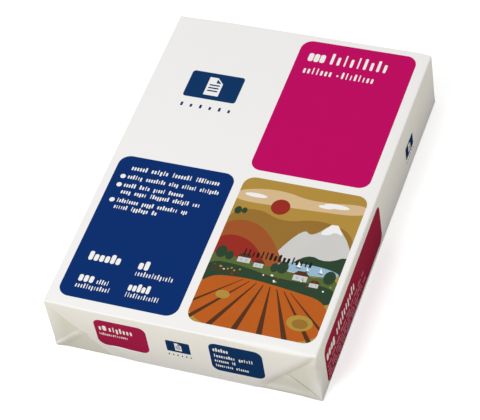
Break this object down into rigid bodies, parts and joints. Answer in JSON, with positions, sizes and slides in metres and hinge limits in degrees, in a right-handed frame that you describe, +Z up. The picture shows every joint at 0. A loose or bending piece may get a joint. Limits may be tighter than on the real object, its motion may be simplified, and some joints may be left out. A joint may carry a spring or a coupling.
{
  "type": "ream of paper",
  "caption": "Sealed ream of A4 copier paper: a rectangular block of sheets in a folded and glued paper wrapper with flapped ends.",
  "frame": {"origin": "on the resting plane, under the middle of the pack", "axes": "+X across the pack (short side of the sheets), +Y along it (long side of the sheets), +Z up; the printed end faces -Y and the wrapper's lap lies underneath"},
  "size_m": [0.2102, 0.2996, 0.0534],
  "materials": {
    "wrapper": "satin"
  },
  "bodies": {
    "root": {"wrapped_ream": "wrapper"}
  },
  "joints": []
}
